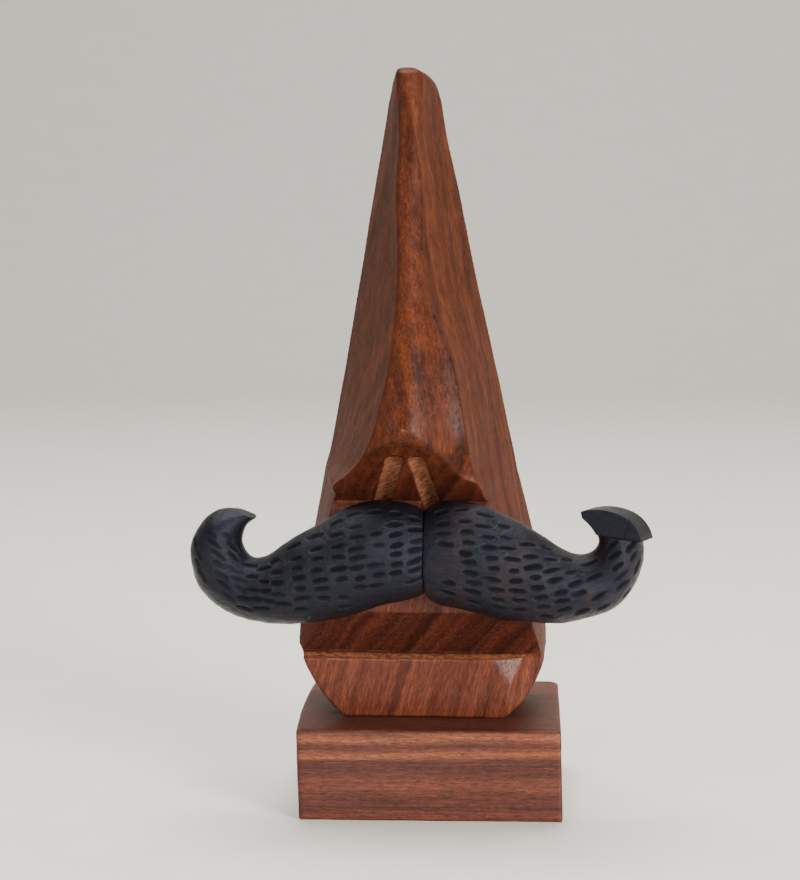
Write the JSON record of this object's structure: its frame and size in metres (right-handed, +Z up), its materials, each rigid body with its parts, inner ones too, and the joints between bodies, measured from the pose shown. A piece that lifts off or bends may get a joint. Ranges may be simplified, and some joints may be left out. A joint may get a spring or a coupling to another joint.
{
  "type": "eyeglasses display stand",
  "caption": "Hand-carved wooden stand for a pair of glasses: a nose, lips and chin on a rectangular base, with a black-stained curled moustache.",
  "frame": {"origin": "on the base block's underside, on the surface the stand rests on, 0.4 mm left and 2.2 mm in front of the underside's exact middle", "axes": "+Z up, front (the nose and moustache) faces -Y, +X to the viewer's right"},
  "size_m": [0.1011, 0.0609, 0.1655],
  "materials": {
    "sheesham_base": "satin clear varnish over reddish-brown sheesham, grain along X",
    "sheesham_upright": "satin-gloss clear varnish over reddish-brown sheesham, grain along Z",
    "black_stained_wood": "black stain with a satin wax sheen over gouge marks",
    "black_stained_wood_worn": "black stain with a satin wax sheen, worn to reddish brown on the high spots",
    "birch_dowel": "plain light wood, glued",
    "zinc_steel": "bright zinc-plated steel"
  },
  "bodies": {
    "root": {"base_block": "sheesham_base", "nose_body": "sheesham_upright", "moustache_left": "black_stained_wood", "moustache_right": "black_stained_wood_worn", "moustache_right_tip": "black_stained_wood", "base_screw_left": "zinc_steel", "base_screw_right": "zinc_steel", "moustache_tip_pin": "birch_dowel", "moustache_dowel_left_inner": "birch_dowel", "moustache_dowel_left_outer": "birch_dowel", "moustache_dowel_right_inner": "birch_dowel", "moustache_dowel_right_outer": "birch_dowel"}
  },
  "joints": []
}
